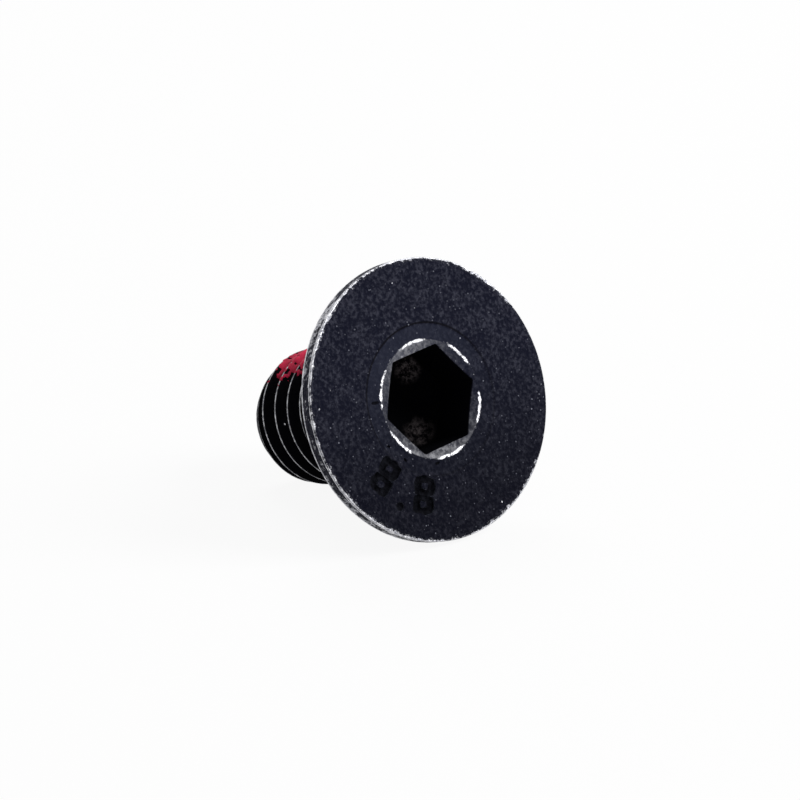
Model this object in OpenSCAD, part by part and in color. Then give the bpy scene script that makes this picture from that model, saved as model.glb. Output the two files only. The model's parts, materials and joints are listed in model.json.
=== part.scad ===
// Countersunk screw with a hexagon socket, lying on its side on a flat surface.
// Millimetres, +Z up. The tip points to -X and the head faces +X.
// The origin is on the surface, under the middle of the lying screw.

/* [Head] */
// Diameter of the flat head
head_d = 11.6; // [11.2:0.1:13]
// Height of the straight edge between the face and the countersink
head_land = 0.65; // [0.3:0.05:1]
// Included angle of the countersink under the head
countersink_angle = 90; // [80:1:100]
// Rounding where the face meets the straight edge
rim_round = 0.05; // [0.05:0.05:0.25]

/* [Hexagon socket] */
// Width across the flats
socket_af = 4; // [3:0.1:4.5]
// Depth of the flats below the face
socket_depth = 2.4; // [1.6:0.1:2.6]
// How far the chamfer at the mouth reaches past the hexagon's corners
mouth_margin = 0.12; // [0.05:0.01:0.4]
// Included angle of the chamfer at the mouth
mouth_angle = 150; // [100:1:170]
// Included angle of the cone at the bottom
bottom_angle = 130; // [118:1:150]
// Turn of the hexagon about the screw's axis, from the corner that points up
socket_turn = 20; // [0:1:59]

/* [Thread] */
// Length of the screw from the face to the tip
screw_len = 10; // [9:0.5:30]
// Outside diameter of the thread
thread_d = 5.9; // [5.6:0.05:6.2]
// Pitch of the right-hand thread
thread_pitch = 1; // [0.75:0.05:1.25]
// Plain neck between the countersink and the thread
neck_len = 0.6; // [0.4:0.1:1.5]
// Fillet between the countersink and the neck
neck_fillet = 0.3; // [0.1:0.05:0.5]
// How far the flat of the tip lies inside the thread's root
tip_inset = 0.01; // [0.01:0.01:0.2]
// Included angle of the chamfer at the tip
tip_angle = 54; // [50:1:70]
// Distance from the tip to the last crest on the underside
last_crest = 0.81; // [0.7:0.01:1]

/* [Thread-lock patch] */
// Thickness of the dried film on the crests
film_on_crest = 0.1; // [0.02:0.01:0.15]
// Thickness of the dried film in the roots
film_in_root = 0.2; // [0.05:0.01:0.3]
// Turns of the thread that stay bare between the patch and the tip
bare_turns = 1; // [1:1:2]
// Turns of the thread that the patch covers
patch_turns = 3; // [1:1:3]
// Where the patch starts round the screw, counted from the top
patch_from = -45; // [-90:7.5:0]
// Where the patch ends round the screw, counted from the top
patch_to = 30; // [7.5:7.5:90]

/* [Hidden] */
$fn = 96;

// Metric thread: a 60 degree profile with a crest flat of an eighth of the pitch
thread_depth = 0.6134 * thread_pitch;
flank_len = thread_depth * tan(30);
crest_flat = thread_pitch / 8;
root_flat = thread_pitch - crest_flat - 2 * flank_len;
crest_r = thread_d / 2;
root_r = crest_r - thread_depth;
pitch_r = crest_r - 0.3248 * thread_pitch;

// The neck stands a hair outside the run-out, which dies into its end
neck_step = 0.02;
neck_r = pitch_r + neck_step;
neck_lap = 0.2;

// Heights along the axis, from the face at 0 to the tip
head_r = head_d / 2;
flare = countersink_angle / 2;
head_h = head_land + (head_r - neck_r) / tan(flare);
thread_start = head_h + neck_len;
tip_r = root_r - tip_inset;
tip_slope = tan(tip_angle / 2);
crest_z = screw_len - last_crest;

// Corners of one pitch, from the tip side of a crest: [distance along the axis, radius, film]
profile = [
    [0, crest_r, film_on_crest],
    [flank_len, root_r, film_in_root],
    [flank_len + root_flat, root_r, film_in_root],
    [2 * flank_len + root_flat, crest_r, film_on_crest]
];
corners = len(profile);
steps = 48;
merge_gap = 0.001;

// Whole turns before and after the crest that the screw lies on, with one to spare
turns_before = ceil((crest_z - thread_start + neck_lap) / thread_pitch) + 1;
turns_after = ceil((screw_len - crest_z) / thread_pitch) + 1;
last_corner = corners * (turns_before + turns_after);

// The screw rests on the back of the straight edge and on the last crest, which the chamfer has cut
rest_z = crest_z - crest_flat;
rest_r = min(crest_r, tip_r + (screw_len - rest_z) * tip_slope);
lie_angle = atan((head_r - rest_r) / (rest_z - head_land));
reach_front = (head_r - rim_round) * sin(lie_angle) + rim_round * (1 - cos(lie_angle));
reach_back = screw_len * cos(lie_angle) + tip_r * sin(lie_angle);
face_x = (reach_back - reach_front) / 2;
face_z = head_land * sin(lie_angle) + head_r * cos(lie_angle);

// Height of a thread corner: i counts steps round the axis from the top, j counts corners
function corner_z(i, j) = crest_z + profile[j % corners][0]
    + thread_pitch * (i / steps - 0.5 + floor(j / corners) - turns_before);

// First and last corner of a column between the buried start and the tip
function first_corner(i) =
    len([for (j = [0:last_corner]) if (corner_z(i, j) < thread_start - neck_lap + merge_gap) j]) - 1;
function end_corner(i) =
    len([for (j = [0:last_corner]) if (corner_z(i, j) < screw_len - merge_gap) j]);

// Radius at a height: the run-out fades in over one pitch and the tip is chamfered
function thread_r(z, full_r) = min(
    pitch_r + (full_r - pitch_r) * min(1, max(0, (z - thread_start) / thread_pitch)),
    tip_r + (screw_len - z) * tip_slope);

// Point on the thread, lifted by a share of the film
function thread_point(i, j, lift = 0) =
    let (corner = profile[j % corners],
         z = j <= first_corner(i) ? thread_start - neck_lap
           : j >= end_corner(i) ? screw_len
           : corner_z(i, j),
         r = thread_r(z, corner[1]) + lift * corner[2],
         turn = 360 * i / steps)
    [r * cos(turn), r * sin(turn), z];

// Points along a rounded corner, given its centre, radius and two angles
function arc(centre, r, from, to, parts = 6) =
    [for (k = [0:parts]) let (a = from + (to - from) * k / parts) centre + r * [cos(a), sin(a)]];

// Both triangles of a four-cornered patch of surface, without those that have shrunk to a line
function two_triangles(a, b, c, d) =
    [for (t = [[a, b, c], [a, c, d]]) if (t[0] != t[1] && t[1] != t[2] && t[2] != t[0]) t];

// Lays a screw that stands on its face down on its side
module laid_down() {
    translate([face_x, 0, face_z])
        rotate([0, -90 - lie_angle, 0])
            children();
}

// Head and neck, turned from one outline
module head_blank() {
    fillet_z = head_h + neck_fillet * tan(flare / 2);
    rotate_extrude()
        polygon(concat(
            [[0, 0]],
            arc([head_r - rim_round, rim_round], rim_round, -90, 0),
            [[head_r, head_land]],
            arc([neck_r + neck_fillet, fillet_z], neck_fillet, 180 + flare, 180),
            [[neck_r, thread_start], [0, thread_start]]));
}

// Hexagon with a chamfered mouth and a shallow cone at the bottom
module socket_cut() {
    corner_r = socket_af / 2 / cos(30);
    mouth_r = corner_r + mouth_margin;
    mouth_depth = mouth_r / tan(mouth_angle / 2);
    bottom_r = socket_af / 2;
    overcut = 1;
    rotate([0, 0, socket_turn])
        translate([0, 0, -overcut])
            cylinder(r = corner_r, h = socket_depth + overcut, $fn = 6);
    cylinder(r1 = mouth_r, r2 = 0, h = mouth_depth);
    translate([0, 0, socket_depth])
        cylinder(r1 = bottom_r, r2 = 0, h = bottom_r / tan(bottom_angle / 2));
}

// Threaded shank with its run-out and its chamfered tip, starting inside the neck
module threaded_shank() {
    column = last_corner + 1;
    first = [for (i = [0:steps - 1]) first_corner(i)];
    end = [for (i = [0:steps - 1]) end_corner(i)];
    points = [for (i = [0:steps - 1]) for (j = [0:last_corner]) thread_point(i, j)];
    // After one whole turn the corners meet those of the next pitch
    function at(i, j) = i == steps ? at(0, j + corners) : i * column + max(first[i], min(end[i], j));
    sides = [for (i = [0:steps - 1]) for (j = [0:last_corner - 1])
        each two_triangles(at(i, j), at(i, j + 1), at(i + 1, j + 1), at(i + 1, j))];
    start_face = [for (i = [0:steps - 1]) at(i, 0)];
    tip_face = [for (i = [steps - 1:-1:0]) at(i, last_corner)];
    polyhedron(points, concat(sides, [start_face, tip_face]));
}

// The screw, forged and thread-rolled from one piece of steel
module screw() {
    color("#262930")
        laid_down() {
            difference() {
                head_blank();
                socket_cut();
            }
            threaded_shank();
        }
}

// Dried thread-lock, a thin film that follows the thread on the upper side
module thread_lock_patch() {
    first_step = steps + round(patch_from * steps / 360);
    last_step = steps + round(patch_to * steps / 360);
    last_j = corners * (turns_before - bare_turns);
    first_j = last_j - corners * patch_turns;
    rows = last_j - first_j + 1;
    cols = last_step - first_step + 1;
    points = [for (lift = [0, 1]) for (i = [first_step:last_step]) for (j = [first_j:last_j])
        thread_point(i, j, lift)];
    top = rows - 1;
    side = cols - 1;
    function at(lift, i, j) = (lift * cols + i) * rows + j;
    skins = [for (i = [0:cols - 2]) for (j = [0:rows - 2]) each concat(
        two_triangles(at(1, i, j), at(1, i, j + 1), at(1, i + 1, j + 1), at(1, i + 1, j)),
        two_triangles(at(0, i, j), at(0, i + 1, j), at(0, i + 1, j + 1), at(0, i, j + 1)))];
    long_edges = [for (i = [0:cols - 2]) each concat(
        two_triangles(at(0, i, 0), at(1, i, 0), at(1, i + 1, 0), at(0, i + 1, 0)),
        two_triangles(at(0, i, top), at(0, i + 1, top), at(1, i + 1, top), at(1, i, top)))];
    short_edges = [for (j = [0:rows - 2]) each concat(
        two_triangles(at(0, 0, j), at(0, 0, j + 1), at(1, 0, j + 1), at(1, 0, j)),
        two_triangles(at(0, side, j), at(1, side, j), at(1, side, j + 1), at(0, side, j + 1)))];
    color("#b01f2e")
        laid_down()
            polyhedron(points, concat(skins, long_edges, short_edges));
}

screw();
thread_lock_patch();
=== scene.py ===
# A short black countersunk screw with a hexagon socket, lying on its side on a pale floor.
import json
import math

import bpy
from mathutils import Matrix, Vector, noise


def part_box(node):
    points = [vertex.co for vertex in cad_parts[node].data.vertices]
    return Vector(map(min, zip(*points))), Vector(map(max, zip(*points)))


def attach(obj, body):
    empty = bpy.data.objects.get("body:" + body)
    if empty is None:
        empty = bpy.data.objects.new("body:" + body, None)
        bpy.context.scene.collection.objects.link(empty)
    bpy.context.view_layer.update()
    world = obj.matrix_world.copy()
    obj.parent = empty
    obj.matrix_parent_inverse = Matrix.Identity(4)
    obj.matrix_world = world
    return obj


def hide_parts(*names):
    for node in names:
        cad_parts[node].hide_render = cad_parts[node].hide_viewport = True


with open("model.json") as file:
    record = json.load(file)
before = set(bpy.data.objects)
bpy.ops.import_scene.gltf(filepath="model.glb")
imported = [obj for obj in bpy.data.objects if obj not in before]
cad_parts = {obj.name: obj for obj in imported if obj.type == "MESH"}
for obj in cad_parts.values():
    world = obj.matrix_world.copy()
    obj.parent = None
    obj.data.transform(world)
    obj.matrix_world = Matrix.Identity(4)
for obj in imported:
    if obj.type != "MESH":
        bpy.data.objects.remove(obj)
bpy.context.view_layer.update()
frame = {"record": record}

# Forged head and neck
# The blank is upset from steel wire in one piece: a flat head with a worn round rim, a straight edge,
# a countersink of 90 degrees and a short neck. It is drawn in millimetres, face down on its own axis,
# and one outline is spun round that axis. The pilot hole for the socket is part of the outline.
mm = 0.001
mounts = {mount["name"]: mount for mount in frame["record"]["mounts"]}
face_centre = Vector(mounts["hexagon_socket"]["pos_m"])
face_normal = Vector(mounts["hexagon_socket"]["axis"]).normalized()
screw_low, screw_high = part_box("screw")
lie_angle = math.asin(face_normal.z)
weld = 1e-4

head_r = (screw_high[1] - screw_low[1]) / 2 / mm
head_land = 0.65
rim_cut = 0.06
back_rim_cut = 0.06
flare = math.radians(45)
crest_r = mounts["thread"]["dims"]["r_mm"]
pitch = 1.0
pitch_r = crest_r - 0.3248 * pitch
neck_step = 0.02
neck_r = pitch_r + neck_step
neck_len = 0.6
neck_cut = 0.16
head_h = head_land + (head_r - neck_r) / math.tan(flare)
thread_start = head_h + neck_len

socket_af = 4.0
socket_depth = 2.4
socket_corner_r = socket_af / 2 / math.cos(math.radians(30))
mouth_margin = 0.11
mouth_r = socket_corner_r + mouth_margin
mouth_slope = 1 / math.tan(math.radians(80))
mouth_cut = 0.05
pilot_inset = 0.06
pilot_r = socket_af / 2 - pilot_inset
pilot_point = pilot_r / math.tan(math.radians(65))
punch_ring_r = 3.1
punch_ring_w = 0.06
punch_ring_cut = 0.03
punch_sink = 0.035
face_rings = [3.6, 4.1, 4.6, 5.1]


def softened(corners, parts=5):
    """Turns corners, each a radius, a height and a cut, into points with every cut corner rounded."""
    points = []
    for index, (radius, height, cut) in enumerate(corners):
        corner = Vector((radius, 0, height))
        if cut == 0:
            points.append(corner)
            continue
        before = Vector((corners[index - 1][0], 0, corners[index - 1][1]))
        after = Vector((corners[index + 1][0], 0, corners[index + 1][1]))
        start = corner + (before - corner).normalized() * cut
        end = corner + (after - corner).normalized() * cut
        for part in range(parts + 1):
            share = part / parts
            points.append(start.lerp(corner, share).lerp(corner.lerp(end, share), share))
    return points


def draw_chain(name, points):
    """Draws a chain of edges through the points and leaves it selected in edit mode."""
    bpy.ops.object.select_all(action="DESELECT")
    bpy.ops.mesh.primitive_plane_add(size=1)
    bpy.context.object.name = name
    bpy.ops.object.mode_set(mode="EDIT")
    bpy.ops.mesh.merge(type="CENTER")
    bpy.ops.transform.translate(value=points[0])
    for here, there in zip(points, points[1:]):
        bpy.ops.mesh.extrude_vertices_move(TRANSFORM_OT_translate={"value": there - here})
    bpy.ops.mesh.select_all(action="SELECT")
    return bpy.context.object


def spin_solid(name, corners, steps):
    """Spins an outline that starts and ends on the axis into a closed solid."""
    solid = draw_chain(name, softened(corners))
    bpy.ops.mesh.spin(steps=steps, angle=math.tau, center=(0, 0, 0), axis=(0, 0, 1))
    bpy.ops.mesh.select_all(action="SELECT")
    bpy.ops.mesh.remove_doubles(threshold=weld)
    bpy.ops.mesh.normals_make_consistent(inside=False)
    bpy.ops.object.mode_set(mode="OBJECT")
    return solid


screw = spin_solid("screw_body", [
    (0, socket_depth + pilot_point, 0),
    (pilot_r, socket_depth, 0),
    (pilot_r, punch_sink + (mouth_r - pilot_r) * mouth_slope, 0),
    (mouth_r, punch_sink, mouth_cut),
    (punch_ring_r - punch_ring_w, punch_sink, punch_ring_cut),
    (punch_ring_r + punch_ring_w, 0, punch_ring_cut),
    *[(radius, 0, 0) for radius in face_rings],
    (head_r, 0, rim_cut),
    (head_r, head_land, back_rim_cut),
    (neck_r, head_h, neck_cut),
    (neck_r, thread_start, 0),
    (0, thread_start, 0),
], steps=240)

# Rolled thread
# A right-hand metric thread with rounded roots, rolled up to the neck and cut off by a chamfer at the tip.
# One pitch of its outline is drawn and wound up the axis, and the ends are trimmed to flat faces.
thread_depth = 0.6134 * pitch
root_r = crest_r - thread_depth
flank = thread_depth * math.tan(math.radians(30))
crest_flat = pitch / 8
half_crest = crest_flat / 2
root_flat = pitch - crest_flat - 2 * flank
crest_cut = 0.055
root_cut = 0.08
flank_steps = [0.25, 0.5, 0.75]
screw_len = 10.0
tip_inset = 0.01
tip_r = root_r - tip_inset
tip_slope = math.tan(math.radians(27))
tip_cut = 0.03
thread_end = screw_len - (crest_r - tip_r) / tip_slope
last_crest_inset = 0.81
last_crest = screw_len - last_crest_inset - half_crest
neck_lap = 0.2
turns_before = 7
turns = 10
helix_steps = 200
first_crest = last_crest - pitch / 2 - turns_before * pitch

shank = draw_chain("shank", softened([
    (crest_r, first_crest, 0),
    (crest_r, first_crest + half_crest, crest_cut),
    *[(crest_r - step * thread_depth, first_crest + half_crest + step * flank, 0) for step in flank_steps],
    (root_r, first_crest + half_crest + flank, root_cut),
    (root_r, first_crest + half_crest + flank + root_flat, root_cut),
    *[(root_r + step * thread_depth, first_crest + pitch - half_crest - flank + step * flank, 0)
      for step in flank_steps],
    (crest_r, first_crest + pitch - half_crest, crest_cut),
    (crest_r, first_crest + pitch, 0),
], parts=3))
bpy.ops.object.mode_set(mode="OBJECT")
helix = shank.modifiers.new("helix", "SCREW")
helix.angle = math.tau
helix.screw_offset = pitch
helix.iterations = turns
helix.steps = helix_steps
helix.render_steps = helix_steps
bpy.ops.object.modifier_apply(modifier=helix.name)
bpy.ops.object.mode_set(mode="EDIT")
bpy.ops.mesh.select_all(action="SELECT")
bpy.ops.mesh.remove_doubles(threshold=weld)
for height, outward in ((thread_start - neck_lap, -1), (screw_len + neck_lap, 1)):
    bpy.ops.mesh.select_all(action="SELECT")
    bpy.ops.mesh.bisect(plane_co=(0, 0, height), plane_no=(0, 0, outward), use_fill=True,
                        clear_outer=True, threshold=weld)
bpy.ops.mesh.select_all(action="SELECT")
bpy.ops.mesh.normals_make_consistent(inside=False)
bpy.ops.object.mode_set(mode="OBJECT")

# The thread runs out into the neck over its first turn
for vertex in shank.data.vertices:
    full = min(1, max(0, (vertex.co.z - thread_start) / pitch))
    radius = vertex.co.xy.length
    if full < 1 and radius > weld:
        vertex.co.xy *= (pitch_r + (radius - pitch_r) * full) / radius


def combine(body, tool, operation):
    """Joins, cuts or intersects a body with a second solid, which is then used up."""
    step = body.modifiers.new(operation, "BOOLEAN")
    step.operation = operation
    step.solver = "MANIFOLD"
    step.object = tool
    bpy.ops.object.select_all(action="DESELECT")
    bpy.context.view_layer.objects.active = body
    bpy.ops.object.modifier_apply(modifier=step.name)
    bpy.data.objects.remove(tool)


# The dried patch further down starts as a copy of this thread
bpy.ops.object.select_all(action="DESELECT")
shank.select_set(True)
bpy.context.view_layer.objects.active = shank
bpy.ops.object.duplicate()
film = bpy.context.object
film.name = "thread_lock_film"

envelope_room = 0.4
tip_envelope = spin_solid("tip_envelope", [
    (0, 0, 0),
    (crest_r + envelope_room, 0, 0),
    (crest_r + envelope_room, thread_end - envelope_room / tip_slope, 0),
    (tip_r, screw_len, tip_cut),
    (0, screw_len, 0),
], steps=160)
combine(shank, tip_envelope, "INTERSECT")
combine(screw, shank, "UNION")

# Hexagon socket
# Six flats for the key, punched cold into the steel through the conical mouth and round the pilot hole.
# The punch's own corners were slightly rounded, so a hexagonal bar with bevelled edges cuts it out.
socket_turn = math.radians(20)
socket_corner_round = 0.07
overcut = 1.0
hexagon_start = math.radians(30)
bpy.ops.object.select_all(action="DESELECT")
bpy.ops.mesh.primitive_cylinder_add(
    vertices=6, radius=socket_corner_r, depth=socket_depth + overcut,
    location=(0, 0, (socket_depth - overcut) / 2), rotation=(0, 0, socket_turn - hexagon_start))
punch = bpy.context.object
bpy.ops.object.transform_apply(location=True, rotation=True, scale=True)
bpy.context.tool_settings.mesh_select_mode = (False, True, False)
for edge in punch.data.edges:
    low, high = (punch.data.vertices[index].co for index in edge.vertices)
    edge.select = abs(low.z - high.z) > socket_depth
bpy.ops.object.mode_set(mode="EDIT")
bpy.ops.mesh.bevel(offset=socket_corner_round, segments=3)
bpy.ops.object.mode_set(mode="OBJECT")
combine(screw, punch, "DIFFERENCE")

# Strength class
# Two digits and a dot, struck into the face with a round-nosed stamp before the oxide was put on.
# Each digit is a pair of squarish rings that wander a little, and the dot is a small ball.
digit_height = 1.58
digit_width = 1.04
digit_mid_r = 3.945
digit_turns = [math.radians(228), math.radians(198.9)]
loop_gap = 0.75
loop_r = 0.3
stroke_r = 0.16
stroke_depth = 0.16
stroke_unevenness = 0.06
wander_size = 0.3
wander_shift = Vector((7, 0, 0))
dot_r = 0.2
dot_mid_r = 4.68
dot_turn = math.radians(212.5)


def on_face(radius, turn, height):
    """Gives the place on the face at a distance and a turn from the screw's axis."""
    return Vector((radius * math.cos(turn), radius * math.sin(turn), height))


for turn in digit_turns:
    for side in (-1, 1):
        bpy.ops.object.select_all(action="DESELECT")
        bpy.ops.mesh.primitive_torus_add(
            major_radius=loop_r, minor_radius=stroke_r, major_segments=40, minor_segments=16,
            location=on_face(digit_mid_r + side * loop_gap / 2, turn, stroke_depth - stroke_r),
            rotation=(0, 0, turn))
        loop = bpy.context.object
        for vertex in loop.data.vertices:
            squareness = vertex.co.xy.length / max(abs(vertex.co.x), abs(vertex.co.y))
            vertex.co.xy *= math.sqrt(squareness)
        loop.scale.x = (digit_height - loop_gap) / 2 / (loop_r + stroke_r)
        loop.scale.y = digit_width / 2 / (loop_r + stroke_r)
        bpy.ops.object.transform_apply(location=True, rotation=True, scale=True)
        for vertex in loop.data.vertices:
            spot = vertex.co / wander_size
            vertex.co.x += stroke_unevenness * noise.noise(spot)
            vertex.co.y += stroke_unevenness * noise.noise(spot + wander_shift)
        combine(screw, loop, "DIFFERENCE")

bpy.ops.object.select_all(action="DESELECT")
bpy.ops.mesh.primitive_uv_sphere_add(
    segments=24, ring_count=16, radius=dot_r, location=on_face(dot_mid_r, dot_turn, stroke_depth - dot_r))
dot = bpy.context.object
bpy.ops.object.transform_apply(location=True, rotation=True, scale=True)
combine(screw, dot, "DIFFERENCE")

# Nicks
# Small dents that the key has knocked into the pressed ring beside the socket, cut out as flat balls.
# Each has its distance and turn from the axis, its length, its width and the way it runs.
nick_depth = 0.05
unit_ball_r = 0.5
nicks = [
    (2.72, 276.7, 0.42, 0.15, 271),
    (2.62, 186.9, 0.26, 0.12, 261),
    (2.84, 219.9, 0.2, 0.12, 331),
    (2.9, 238.9, 0.2, 0.1, 301),
]
for radius, turn, length, width, run in nicks:
    bpy.ops.object.select_all(action="DESELECT")
    bpy.ops.mesh.primitive_uv_sphere_add(
        segments=16, ring_count=10, radius=unit_ball_r,
        location=on_face(radius, math.radians(turn), punch_sink), rotation=(0, 0, math.radians(run)))
    nick = bpy.context.object
    nick.scale = (length, width, 2 * nick_depth)
    bpy.ops.object.transform_apply(location=True, rotation=True, scale=True)
    combine(screw, nick, "DIFFERENCE")


# Black oxide on forged steel
# A thin blue-black layer over the fine grit of the forging, nearly matt, with painted dull glints, painted
# shade and painted highlights.
# Handling has worn it to bright steel on the rim, the socket's mouth and the crests.
def linear(code):
    """Turns an sRGB hex colour into linear red, green and blue with full alpha."""
    shares = [int(code[start:start + 2], 16) / 255 for start in (1, 3, 5)]
    return [share / 12.92 if share <= 0.04045 else ((share + 0.055) / 1.055) ** 2.4
            for share in shares] + [1]


def add_node(tree, kind, settings, inputs):
    """Adds a node with its settings, and sets each input or links it to a node or one of its outputs."""
    node = tree.nodes.new("ShaderNode" + kind)
    for name, value in settings.items():
        setattr(node, name, value)
    for name, value in inputs.items():
        if isinstance(value, bpy.types.Node):
            value = next(output for output in value.outputs if output.enabled)
        if isinstance(value, bpy.types.NodeSocket):
            tree.links.new(value, node.inputs[name])
        else:
            node.inputs[name].default_value = value
    return node


ease = {"interpolation_type": "SMOOTHSTEP"}
larger = {"operation": "MAXIMUM"}
times = {"operation": "MULTIPLY"}
minus = {"operation": "SUBTRACT"}
times_plus = {"operation": "MULTIPLY_ADD"}
size_only = {"operation": "ABSOLUTE"}
apart = {"operation": "DISTANCE"}
blend = {"data_type": "RGBA"}
blend_a, blend_b = 6, 7

oxide = bpy.data.materials.new("black_oxide_on_forged_steel")
oxide.use_nodes = True
nodes = oxide.node_tree
nodes.nodes.clear()

# The pattern's place on the standing screw, in millimetres: distance from the axis, height from the face
# and turn round the axis
place = add_node(nodes, "TexCoord", {}, {})
standing = add_node(nodes, "Mapping", {"vector_type": "TEXTURE"}, {
    "Vector": place.outputs["Object"], "Location": face_centre,
    "Rotation": (0, -math.pi / 2 - lie_angle, 0), "Scale": (mm, mm, mm)})
along = add_node(nodes, "SeparateXYZ", {}, {"Vector": standing})
flat = add_node(nodes, "CombineXYZ", {}, {"X": along.outputs["X"], "Y": along.outputs["Y"]})
reach = add_node(nodes, "VectorMath", {"operation": "LENGTH"}, {0: flat})
level = along.outputs["Z"]
outline = add_node(nodes, "CombineXYZ", {}, {"X": reach, "Z": level})
beside = add_node(nodes, "Math", {"operation": "ADD"}, {0: reach, 1: level})
turn_round = add_node(nodes, "Math", {"operation": "ARCTAN2"}, {0: along.outputs["Y"], 1: along.outputs["X"]})

# Grit of the forging, broader clouds in the oxide, and the patches in which it holds on. The real grit is
# finer than the render can show, so it is drawn this coarse
grit_size = 0.17
cloud_size = 0.8
patch_size = 0.4
grit = add_node(nodes, "TexNoise", {}, {
    "Vector": standing, "Scale": 1 / grit_size, "Detail": 4, "Roughness": 0.62})
cloud = add_node(nodes, "TexNoise", {}, {
    "Vector": standing, "Scale": 1 / cloud_size, "Detail": 4, "Roughness": 0.6})
patch = add_node(nodes, "TexNoise", {}, {
    "Vector": standing, "Scale": 1 / patch_size, "Detail": 6, "Roughness": 0.78})
grit_in_patch = 0.4
hold = add_node(nodes, "Mix", {}, {0: grit_in_patch, 2: patch.outputs[0], 3: grit.outputs[0]})

# Wear on each edge: distance from the axis, height, how far the wear spreads and how bare it gets
worn_edges = [
    (head_r - 0.03, 0.02, 0.1, 0.85),
    (head_r, 0.09, 0.09, 1.0),
    (head_r - 0.08, 0, 0.22, 0.45),
    (head_r, head_land - 0.05, 0.09, 1.5),
]
worn = 0.0
for edge_r, edge_z, spread, bareness in worn_edges:
    away = add_node(nodes, "VectorMath", apart, {0: outline, 1: (edge_r, 0, edge_z)})
    near = add_node(nodes, "MapRange", ease, {
        "Value": away, "From Min": spread, "From Max": 0, "To Min": 0, "To Max": bareness})
    worn = add_node(nodes, "Math", larger, {0: near, 1: worn})

# The straight edge of the head is scuffed in specks, and the whole rim is less bare on its right, partly as
# wear and partly as a painted reflection
land_scuff = 0.46
right_rim_wear_and_reflection = 0.65
on_land = add_node(nodes, "MapRange", ease, {
    "Value": reach, "From Min": head_r - 0.06, "From Max": head_r - 0.01, "To Max": land_scuff})
worn = add_node(nodes, "Math", larger, {0: worn, 1: on_land})
rim_side = add_node(nodes, "MapRange", ease, {
    "Value": along.outputs["Y"], "From Min": 0.6 * head_r, "From Max": 0.95 * head_r,
    "To Min": 1, "To Max": right_rim_wear_and_reflection})

# Stretches of the rim that were knocked harder: turn, half width, and how much barer they are
knocked = [(43, 22, 0.8), (150, 35, 0.45), (308, 26, 0.5), (213, 34, 0.45), (5, 20, 0.3)]
for turn, half_width, barer in knocked:
    facing = add_node(nodes, "VectorMath", {"operation": "DOT_PRODUCT"}, {
        0: flat, 1: on_face(1, math.radians(turn), 0)})
    stretch = add_node(nodes, "MapRange", ease, {
        "Value": facing, "From Min": head_r * math.cos(math.radians(half_width)), "From Max": head_r,
        "To Max": barer})
    rim_side = add_node(nodes, "Math", {"operation": "ADD"}, {0: rim_side, 1: stretch})
worn = add_node(nodes, "Math", times, {0: worn, 1: rim_side})

# The key has caught the edge of the mouth in the middle of each flat
flats = 6
corner_wear = 0.3
flat_wear = 0.95
mouth_wear_width = 0.15
six_fold = add_node(nodes, "Math", times_plus, {0: turn_round, 1: flats, 2: -flats * socket_turn})
corner_wave = add_node(nodes, "Math", {"operation": "COSINE"}, {0: six_fold})
mid_flat = add_node(nodes, "MapRange", ease, {
    "Value": corner_wave, "From Min": 0.9, "From Max": -0.6, "To Min": corner_wear, "To Max": flat_wear})
mouth_gap = add_node(nodes, "VectorMath", apart, {0: outline, 1: (mouth_r, 0, punch_sink)})
mouth_edge = add_node(nodes, "MapRange", ease, {
    "Value": mouth_gap, "From Min": mouth_wear_width, "From Max": 0.01})
caught = add_node(nodes, "Math", times, {0: mouth_edge, 1: mid_flat})
worn = add_node(nodes, "Math", larger, {0: worn, 1: caught})

# Flecks where the face and one flank were knocked: distance and turn from the axis, height and size
flecks = [
    (2.97, 42.8, 0, 0.11),
    (4.96, 351.0, 0, 0.06),
    (3.75, 0.8, 0, 0.05),
    (4.85, 284.3, 0, 0.05),
    (5.4, 275.9, 0, 0.06),
    (5.35, 152.9, 0, 0.07),
    (2.94, 190.3, 0, 0.05),
    (2.68, 271, 7.16, 0.1),
]
fleck_bareness = 1.1
for radius, turn, height, size in flecks:
    away = add_node(nodes, "VectorMath", apart, {
        0: standing, 1: on_face(radius, math.radians(turn), height)})
    fleck = add_node(nodes, "MapRange", ease, {
        "Value": away, "From Min": size, "From Max": 0, "To Max": fleck_bareness})
    worn = add_node(nodes, "Math", larger, {0: worn, 1: fleck})

# The layer is gone where the wear is stronger than the patch
strongest_hold = 1.1
fade_to_bare = 0.35
holding = add_node(nodes, "MapRange", {}, {
    "Value": hold, "From Min": 0.36, "From Max": 0.64, "To Min": 0, "To Max": strongest_hold})
over = add_node(nodes, "Math", minus, {0: worn, 1: holding})
bare = add_node(nodes, "MapRange", ease, {"Value": over, "From Min": 0, "From Max": fade_to_bare})

# The crests are rubbed grey in a thin line, all along the thread
line_edge = 0.058
line_core = 0.022
wound = add_node(nodes, "Math", times_plus, {
    0: turn_round, 1: -1 / math.tau, 2: -first_crest / pitch})
climb = add_node(nodes, "Math", times_plus, {0: level, 1: 1 / pitch, 2: wound})
from_crest = add_node(nodes, "Math", {"operation": "PINGPONG"}, {0: climb, 1: 0.5})
on_line = add_node(nodes, "MapRange", ease, {
    "Value": from_crest, "From Min": line_edge, "From Max": line_core})
on_top = add_node(nodes, "MapRange", ease, {
    "Value": reach, "From Min": crest_r - 0.02, "From Max": crest_r - 0.004})
on_crest = add_node(nodes, "Math", times, {0: on_line, 1: on_top})
on_thread = add_node(nodes, "MapRange", ease, {
    "Value": level, "From Min": head_h, "From Max": thread_start + pitch / 2})

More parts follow.
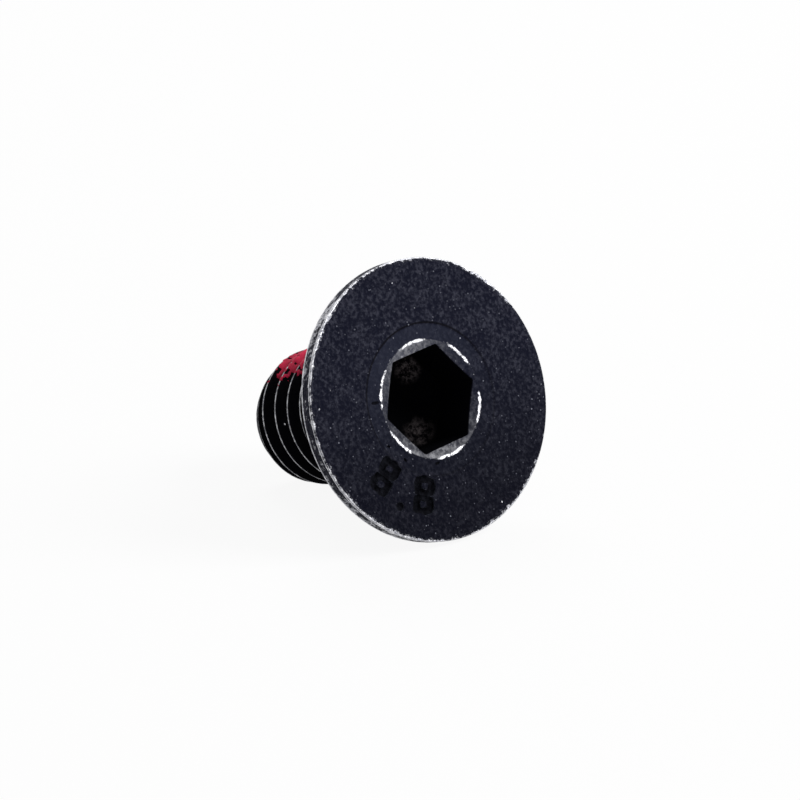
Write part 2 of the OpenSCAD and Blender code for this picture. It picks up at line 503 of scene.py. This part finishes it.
# So are the near edge of the last crest, where the chamfer cuts it, and the edge of the tip
flank_drop = pitch / math.tan(math.radians(30))
cut_edge_width = 0.14
tip_edge_width = 0.1
least_crest_rub = 0.4
full_r = add_node(nodes, "Math", times_plus, {
    0: from_crest, 1: -flank_drop, 2: crest_r + half_crest * flank_drop / pitch})
cut_depth = add_node(nodes, "Math", minus, {0: full_r, 1: reach})
cut_edge = add_node(nodes, "MapRange", ease, {
    "Value": cut_depth, "From Min": cut_edge_width, "From Max": 0.03})
chamfer_line = tip_r + screw_len * tip_slope
chamfer = add_node(nodes, "Math", times_plus, {0: level, 1: tip_slope, 2: reach})
on_chamfer = add_node(nodes, "MapRange", ease, {
    "Value": chamfer, "From Min": chamfer_line - 0.04, "From Max": chamfer_line - 0.01})
part_turn = add_node(nodes, "Math", {"operation": "FRACT"}, {0: climb})
near_side = add_node(nodes, "Math", {"operation": "GREATER_THAN"}, {0: part_turn, 1: 0.5})
cut_edge = add_node(nodes, "Math", times, {0: cut_edge, 1: on_chamfer})
cut_edge = add_node(nodes, "Math", times, {0: cut_edge, 1: near_side})
on_crest = add_node(nodes, "Math", larger, {0: on_crest, 1: cut_edge})
tip_gap = add_node(nodes, "VectorMath", apart, {0: outline, 1: (tip_r, 0, screw_len)})
tip_edge = add_node(nodes, "MapRange", ease, {
    "Value": tip_gap, "From Min": tip_edge_width, "From Max": 0.02})
on_crest = add_node(nodes, "Math", larger, {0: on_crest, 1: tip_edge})
crest_rub = add_node(nodes, "MapRange", {}, {
    "Value": patch.outputs[0], "From Min": 0.35, "From Max": 0.65, "To Min": 1, "To Max": least_crest_rub})
crest = add_node(nodes, "Math", times, {0: on_crest, 1: on_thread})
crest = add_node(nodes, "Math", times, {0: crest, 1: crest_rub})
bare = add_node(nodes, "Math", larger, {0: bare, 1: crest})

# The cone of the mouth is rubbed grey, partly as wear and partly as a painted reflection, less on its right
# and at its far left, and the flats under it are not
most_cone_rub = 0.26
far_left_rub = 0.2
rub_and_reflection_toward = (-0.26, -0.97, 0)
in_mouth = add_node(nodes, "MapRange", ease, {
    "Value": reach, "From Min": mouth_r + 0.03, "From Max": mouth_r - 0.02})
cone_line = add_node(nodes, "Math", times_plus, {
    0: reach, 1: mouth_slope, 2: -punch_sink - mouth_r * mouth_slope})
under_cone = add_node(nodes, "Math", {"operation": "ADD"}, {0: cone_line, 1: level})
on_cone = add_node(nodes, "MapRange", ease, {"Value": under_cone, "From Min": 0.06, "From Max": 0.02})
cone_side = add_node(nodes, "VectorMath", {"operation": "DOT_PRODUCT"}, {0: standing, 1: rub_and_reflection_toward})
cone_rub_and_reflection = add_node(nodes, "MapRange", {}, {
    "Value": cone_side, "From Min": -0.9 * mouth_r, "From Max": 0, "To Min": 0, "To Max": most_cone_rub})
far_left = add_node(nodes, "MapRange", ease, {
    "Value": along.outputs["Y"], "From Min": -0.95 * mouth_r, "From Max": -0.5 * mouth_r,
    "To Min": far_left_rub, "To Max": 1})
rubbed = add_node(nodes, "Math", times, {0: on_cone, 1: in_mouth})
rubbed = add_node(nodes, "Math", times, {0: rubbed, 1: cone_rub_and_reflection})
rubbed = add_node(nodes, "Math", times, {0: rubbed, 1: far_left})
uneven = add_node(nodes, "MapRange", {}, {
    "Value": patch.outputs[0], "From Min": 0.35, "From Max": 0.65, "To Min": 0.3, "To Max": 1.6})
rubbed = add_node(nodes, "Math", times, {0: rubbed, 1: uneven})
bare = add_node(nodes, "Math", larger, {0: bare, 1: rubbed})

# The oxide itself, from its dark hollows to its pale grains
oxide_hollow = linear("#0f1120")
oxide_grain = linear("#363743")
cloud_share = 0.3
grain_contrast = 1.5
clouded = add_node(nodes, "Mix", {}, {0: cloud_share, 2: grit.outputs[0], 3: cloud.outputs[0]})
gritty = add_node(nodes, "MapRange", {}, {"Value": clouded, "From Min": 0.44, "From Max": 0.6})
gritty = add_node(nodes, "Math", {"operation": "POWER"}, {0: gritty, 1: grain_contrast})
grey = add_node(nodes, "Mix", blend, {0: gritty, blend_a: oxide_hollow, blend_b: oxide_grain})

# The ring that the punch pressed round the socket: smoother and paler inside, with painted shade along the
# step. Both show most towards one side and fade round the rest
pressed_oxide = linear("#282b3a")
step_shade = linear("#07070d")
pressed_share = 0.7
ring_clearest = math.radians(335)
ring_faintest = 0.3
step_line_width = 0.07
on_face_side = add_node(nodes, "MapRange", ease, {"Value": level, "From Min": 0.3, "From Max": 0.2})
ring_facing = add_node(nodes, "VectorMath", {"operation": "DOT_PRODUCT"}, {
    0: flat, 1: on_face(1, ring_clearest, 0)})
ring_shown = add_node(nodes, "MapRange", ease, {
    "Value": ring_facing, "From Min": -0.5 * punch_ring_r, "From Max": 0.9 * punch_ring_r,
    "To Min": ring_faintest})
in_ring = add_node(nodes, "MapRange", ease, {
    "Value": reach, "From Min": punch_ring_r + 0.02, "From Max": punch_ring_r - 0.1,
    "To Max": pressed_share})
in_ring = add_node(nodes, "Math", times, {0: in_ring, 1: on_face_side})
in_ring = add_node(nodes, "Math", times, {0: in_ring, 1: ring_shown})
pressed = add_node(nodes, "Mix", blend, {0: in_ring, blend_a: grey, blend_b: pressed_oxide})
off_ring = add_node(nodes, "Math", minus, {0: reach, 1: punch_ring_r + 0.03})
off_ring = add_node(nodes, "Math", size_only, {0: off_ring})
step_shade_line = add_node(nodes, "MapRange", ease, {
    "Value": off_ring, "From Min": step_line_width, "From Max": 0})
step_shade_line = add_node(nodes, "Math", times, {0: step_shade_line, 1: ring_shown})
step_shade_line = add_node(nodes, "Math", times, {0: step_shade_line, 1: on_face_side})
ringed = add_node(nodes, "Mix", blend, {0: step_shade_line, blend_a: pressed, blend_b: step_shade})

# Painted shade: the oxide is coloured darker towards the side that the screw lies on
low_side_shade_black = linear("#010105")
low_side_shade_share = 0.55
painted_low_side_shade = add_node(nodes, "MapRange", ease, {
    "Value": along.outputs["X"], "From Min": 0.5 * head_r, "From Max": -0.9 * head_r,
    "To Max": low_side_shade_share})
ringed = add_node(nodes, "Mix", blend, {0: painted_low_side_shade, blend_a: ringed, blend_b: low_side_shade_black})

# Painted glints: single grains coloured pale grey, as if they caught the light
painted_glint_grey = linear("#80828e")
glint_size = 0.13
rarest = 0.76
glint = add_node(nodes, "TexVoronoi", {}, {"Vector": standing, "Scale": 1 / glint_size})
glint_tone = add_node(nodes, "SeparateColor", {}, {"Color": glint.outputs["Color"]})
rare = add_node(nodes, "MapRange", ease, {
    "Value": glint_tone.outputs[0], "From Min": rarest, "From Max": 1})
glint_gap = add_node(nodes, "Math", times_plus, {0: grit.outputs[0], 1: 0.9, 2: glint.outputs["Distance"]})
grain = add_node(nodes, "MapRange", ease, {"Value": glint_gap, "From Min": 0.75, "From Max": 0.45})
painted_glint_mask = add_node(nodes, "Math", times, {0: rare, 1: grain})
with_painted_glints = add_node(nodes, "Mix", blend, {0: painted_glint_mask, blend_a: ringed, blend_b: painted_glint_grey})

# Painted shade: the socket, the thread and the grooves of the digits are coloured near black, and the oxide
# is more matt there
painted_shade_black = linear("#030306")
thread_share = 0.97
in_socket = add_node(nodes, "MapRange", ease, {"Value": under_cone, "From Min": 0.03, "From Max": 0.12})
deep_socket = add_node(nodes, "Math", times, {0: in_socket, 1: in_mouth})
below_face = add_node(nodes, "MapRange", ease, {"Value": level, "From Min": 0.025, "From Max": 0.08})
inside_rim = add_node(nodes, "MapRange", ease, {
    "Value": beside, "From Min": head_r - 0.35, "From Max": head_r - 0.5})
outside_mouth = add_node(nodes, "MapRange", ease, {
    "Value": reach, "From Min": mouth_r + 0.02, "From Max": mouth_r + 0.05})
blotchy = add_node(nodes, "MapRange", {}, {
    "Value": hold, "From Min": 0.42, "From Max": 0.6, "To Min": 1, "To Max": 0.75})
struck = add_node(nodes, "Math", times, {0: below_face, 1: inside_rim})
struck = add_node(nodes, "Math", times, {0: struck, 1: outside_mouth})
struck = add_node(nodes, "Math", times, {0: struck, 1: blotchy})
in_thread = add_node(nodes, "Math", times, {0: on_thread, 1: thread_share})
shaded_and_matt = add_node(nodes, "Math", larger, {0: deep_socket, 1: in_thread})
shaded_and_matt = add_node(nodes, "Math", larger, {0: shaded_and_matt, 1: struck})

# Painted highlight: a pale grey band just below the face, along the edges of the digits and the dot
brow_highlight_grey = linear("#4a4d59")
brow_highlight_share = 0.4
brow_highlight = add_node(nodes, "MapRange", ease, {
    "Value": level, "From Min": 0.004, "From Max": 0.02, "To Max": brow_highlight_share})
brow_highlight = add_node(nodes, "Math", times, {0: brow_highlight, 1: inside_rim})
outside_ring = add_node(nodes, "MapRange", ease, {
    "Value": reach, "From Min": punch_ring_r + 0.05, "From Max": punch_ring_r + 0.12})
brow_highlight = add_node(nodes, "Math", times, {0: brow_highlight, 1: outside_ring})
# The painted highlight and then the painted shade go into the colour here
with_brow_highlight = add_node(nodes, "Mix", blend, {0: brow_highlight, blend_a: with_painted_glints, blend_b: brow_highlight_grey})
dark = add_node(nodes, "Mix", blend, {0: shaded_and_matt, blend_a: with_brow_highlight, blend_b: painted_shade_black})

# Pale grey patches on the bottom of the socket: distance and turn from the axis, and size
pale_spots = [(1.5, 34, 0.75), (1.5, 147, 0.85)]
pale_spot_grey = linear("#787072")
pale_spot = 0.0
for radius, turn, size in pale_spots:
    away = add_node(nodes, "VectorMath", apart, {
        0: standing, 1: on_face(radius, math.radians(turn), socket_depth)})
    near_spot = add_node(nodes, "MapRange", ease, {"Value": away, "From Min": size, "From Max": 0.2 * size})
    pale_spot = add_node(nodes, "Math", larger, {0: near_spot, 1: pale_spot})
streaky = add_node(nodes, "MapRange", ease, {"Value": patch.outputs[0], "From Min": 0.42, "From Max": 0.62})
on_bottom = add_node(nodes, "MapRange", ease, {
    "Value": level, "From Min": socket_depth - 0.1, "From Max": socket_depth + 0.02})
pale_spot = add_node(nodes, "Math", times, {0: pale_spot, 1: streaky})
pale_spot = add_node(nodes, "Math", times, {0: pale_spot, 1: on_bottom})
pale_spot = add_node(nodes, "Math", times, {0: pale_spot, 1: in_mouth})
pale_spotted = add_node(nodes, "Mix", blend, {0: pale_spot, blend_a: dark, blend_b: pale_spot_grey})

# Bare steel is metallic and fairly smooth, grey in its scratches and brightest where the key caught it
scratched_steel = linear("#84858d")
polished_steel = linear("#dcdce0")
caught_steel = linear("#dedee3")
steel_roughness = 0.35
oxide_roughness = 0.55
unrubbed_roughness = 0.8
oxide_sheen = 0.03
grit_height = 0.07
bright = add_node(nodes, "MapRange", {}, {"Value": grit.outputs[0], "From Min": 0.4, "From Max": 0.6})
steel_tone = add_node(nodes, "Mix", blend, {0: bright, blend_a: scratched_steel, blend_b: polished_steel})
steel_tone = add_node(nodes, "Mix", blend, {0: caught, blend_a: steel_tone, blend_b: caught_steel})
colour = add_node(nodes, "Mix", blend, {0: bare, blend_a: pale_spotted, blend_b: steel_tone})
oxide_matt = add_node(nodes, "MapRange", {}, {
    "Value": shaded_and_matt, "To Min": oxide_roughness, "To Max": unrubbed_roughness})
matt = add_node(nodes, "Mix", {}, {0: bare, 2: oxide_matt, 3: steel_roughness})
relief = add_node(nodes, "Bump", {}, {
    "Strength": 1, "Distance": grit_height * mm, "Height": grit.outputs[0]})
steel = add_node(nodes, "BsdfPrincipled", {}, {
    "Base Color": colour, "Metallic": bare, "Roughness": matt, "Specular IOR Level": oxide_sheen,
    "Normal": relief})
add_node(nodes, "OutputMaterial", {}, {"Surface": steel})
screw.data.materials.clear()
screw.data.materials.append(oxide)

# The finished screw is laid on its side, on the back of its rim and on its last full crest
smooth_below = math.radians(32)
lying_turn = Matrix.Rotation(-math.pi / 2 - lie_angle, 4, "Y")
laying = Matrix.Translation(face_centre) @ lying_turn @ Matrix.Scale(mm, 4)


def lay_down(piece):
    """Turns a piece from its drawing place to where it lies, with its place in its mesh."""
    bpy.ops.object.select_all(action="DESELECT")
    piece.select_set(True)
    bpy.context.view_layer.objects.active = piece
    piece.matrix_world = laying
    bpy.ops.object.transform_apply(location=True, rotation=True, scale=True)
    bpy.ops.object.shade_smooth_by_angle(angle=smooth_below)


lay_down(screw)
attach(screw, "root")
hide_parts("screw")

# Thread-lock film
# A dab of thread-lock that was brushed on the upper side of the thread and has dried to a thin red film.
# It is a skin of the thread's own faces, lifted off them and let in at its ragged edge. It has worn away
# further along the crests than in the roots.
film_from = math.radians(-38)
film_to = math.radians(35)
film_low = 5.25
film_high = 8.5
film_on_crest = 0.08
film_in_root = 0.26
film_bed = 0.03
film_let_in = 0.012
film_unevenness = 0.2
crest_wear = 0.04
ragged = 0.5
edge_slope = 0.52
end_slope = 3
ragged_size = 0.3
speck_size = 0.14
edge_feather = 0.2
feather = 0.6
thin_patch = 0.25
film_reach = 0.2
film_hem = 0.06


def film_margin(point, raggedness):
    """Gives how far inside the film's edge a point of the thread lies, if the edge is this ragged."""
    turn = math.atan2(point.y, point.x)
    to_sides = edge_slope * crest_r * min(turn - film_from, film_to - turn)
    to_ends = end_slope * min(point.z - film_low, film_high - point.z)
    height = max(0, (point.xy.length - root_r) / thread_depth)
    rough = noise.noise(point / ragged_size) + noise.noise(point / speck_size)
    return min(to_sides - crest_wear * height ** 3, to_ends) + raggedness * rough


bpy.context.tool_settings.mesh_select_mode = (False, False, True)
for polygon in film.data.polygons:
    polygon.select = film_margin(polygon.center, ragged) < -film_reach
bpy.ops.object.select_all(action="DESELECT")
film.select_set(True)
bpy.context.view_layer.objects.active = film
bpy.ops.object.mode_set(mode="EDIT")
bpy.ops.mesh.delete(type="FACE")
bpy.ops.mesh.select_all(action="SELECT")
bpy.ops.mesh.subdivide(number_cuts=1)
bpy.ops.object.mode_set(mode="OBJECT")
for polygon in film.data.polygons:
    polygon.select = film_margin(polygon.center, ragged) < -film_hem
bpy.ops.object.mode_set(mode="EDIT")
bpy.ops.mesh.delete(type="FACE")
bpy.ops.object.mode_set(mode="OBJECT")
skin = len(film.data.vertices)
wall = film.modifiers.new("wall", "SOLIDIFY")
wall.thickness = film_bed
wall.offset = -1
bpy.ops.object.modifier_apply(modifier=wall.name)
for vertex in film.data.vertices[:skin]:
    radius = vertex.co.xy.length
    height = (radius - root_r) / thread_depth
    thick = film_in_root + (film_on_crest - film_in_root) * height
    thick *= 1 + film_unevenness * noise.noise(vertex.co / ragged_size)
    share = max(thin_patch, min(1, film_margin(vertex.co, 0) / feather))
    share = min(share, film_margin(vertex.co, ragged) / edge_feather)
    lift = max(-film_let_in, thick * share)
    vertex.co.xy *= 1 + lift / radius

# Dried anaerobic resin: deep crimson, half glossy, with paler and deeper streaks at random along the thread
resin = bpy.data.materials.new("dried_red_resin")
resin.use_nodes = True
nodes = resin.node_tree
nodes.nodes.clear()
place = add_node(nodes, "TexCoord", {}, {})
standing = add_node(nodes, "Mapping", {"vector_type": "TEXTURE"}, {
    "Vector": place.outputs["Object"], "Location": face_centre,
    "Rotation": (0, -math.pi / 2 - lie_angle, 0), "Scale": (mm, mm, mm)})
along = add_node(nodes, "SeparateXYZ", {}, {"Vector": standing})
deep_streak_red = linear("#7a0626")
pale_streak_red = linear("#e0204f")
resin_roughness = 0.6
resin_sheen = 0.25
streak_length = 0.9
streak_width = 0.2
streak_height = 0.03
turn_round = add_node(nodes, "Math", {"operation": "ARCTAN2"}, {0: along.outputs["Y"], 1: along.outputs["X"]})
climb = add_node(nodes, "Math", times_plus, {
    0: turn_round, 1: -pitch / math.tau, 2: along.outputs["Z"]})
round_way = add_node(nodes, "Math", times, {0: turn_round, 1: crest_r / streak_length})
up_way = add_node(nodes, "Math", times, {0: climb, 1: 1 / streak_width})
brushed = add_node(nodes, "CombineXYZ", {}, {"X": round_way, "Y": up_way})
streak = add_node(nodes, "TexNoise", {}, {"Vector": brushed, "Scale": 1, "Detail": 5, "Roughness": 0.65})
streaked = add_node(nodes, "MapRange", {}, {"Value": streak.outputs[0], "From Min": 0.34, "From Max": 0.66})
red = add_node(nodes, "Mix", blend, {0: streaked, blend_a: deep_streak_red, blend_b: pale_streak_red})
relief = add_node(nodes, "Bump", {}, {
    "Strength": 0.6, "Distance": streak_height * mm, "Height": streak.outputs[0]})
gloss = add_node(nodes, "BsdfPrincipled", {}, {
    "Base Color": red, "Roughness": resin_roughness, "Specular IOR Level": resin_sheen, "Normal": relief})
add_node(nodes, "OutputMaterial", {}, {"Surface": gloss})
film.data.materials.clear()
film.data.materials.append(resin)
lay_down(film)
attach(film, "root")
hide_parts("thread_lock_patch")

# Floor
# A sheet of matt white paper, which the screw lies on. It shows as white, and keeps a faint shadow.
floor_size = 4
white_share = 0.92
bpy.ops.object.select_all(action="DESELECT")
bpy.ops.mesh.primitive_plane_add(size=floor_size)
floor = bpy.context.object
floor.name = "paper_floor"
paper = bpy.data.materials.new("matt_white_paper")
paper.use_nodes = True
nodes = paper.node_tree
nodes.nodes.clear()
ray = add_node(nodes, "LightPath", {}, {})
seen = add_node(nodes, "Math", larger, {0: ray.outputs["Is Camera Ray"], 1: ray.outputs["Is Glossy Ray"]})
seen = add_node(nodes, "Math", larger, {0: seen, 1: ray.outputs["Is Transmission Ray"]})
whitened = add_node(nodes, "Math", times, {0: seen, 1: white_share})
sheet = add_node(nodes, "BsdfDiffuse", {}, {"Color": linear("#f2f2f2")})
white = add_node(nodes, "Emission", {}, {"Color": (1, 1, 1, 1), "Strength": 1})
paper_face = add_node(nodes, "MixShader", {}, {0: whitened, 1: sheet, 2: white})
add_node(nodes, "OutputMaterial", {}, {"Surface": paper_face})
floor.data.materials.append(paper)

# Studio light
# A dim pale room all round, a soft lamp from the upper right in front of the face, and a weaker one
# behind the screw, which lights its thread.
scene = bpy.context.scene
scene.view_settings.view_transform = "Standard"
room_fill = 0.2
room = bpy.data.worlds.new("pale_room")
scene.world = room
room.use_nodes = True
nodes = room.node_tree
nodes.nodes.clear()
ray = add_node(nodes, "LightPath", {}, {})
seen = add_node(nodes, "Math", larger, {0: ray.outputs["Is Camera Ray"], 1: ray.outputs["Is Glossy Ray"]})
seen = add_node(nodes, "Math", larger, {0: seen, 1: ray.outputs["Is Transmission Ray"]})
room_level = add_node(nodes, "MapRange", {}, {"Value": seen, "To Min": room_fill, "To Max": 1})
sky = add_node(nodes, "Background", {}, {"Color": (1, 1, 1, 1), "Strength": room_level})
add_node(nodes, "OutputWorld", {}, {"Surface": sky})

lamp_size = 0.2
lamps = [
    (Vector((0.19, 0.19, 0.22)), 1.0),
    (Vector((-0.2, 0.1, 0.28)), 0.5),
]
for lamp_place, power in lamps:
    bpy.ops.object.light_add(type="AREA", location=lamp_place)
    lamp = bpy.context.object
    lamp.data.size = lamp_size
    lamp.data.energy = power
    lamp.rotation_euler = (-lamp_place).to_track_quat("-Z", "Y").to_euler()

# Camera
# A long lens, looking slightly down on the face of the head, with the shank behind it on the left.
aim = Vector((3.3957, -1.0444, 5.6351)) * mm
azimuth = math.radians(54.028)
elevation = math.radians(17.635)
distance = 112.07 * mm
backward = Vector((math.sin(azimuth) * math.cos(elevation),
                   -math.cos(azimuth) * math.cos(elevation),
                   math.sin(elevation)))
bpy.ops.object.camera_add(location=aim + backward * distance)
camera = bpy.context.object
camera.rotation_euler = (-backward).to_track_quat("-Z", "Y").to_euler()
camera.data.sensor_width = 36
camera.data.lens = 124.4
camera.data.clip_start = 0.01
scene.camera = camera
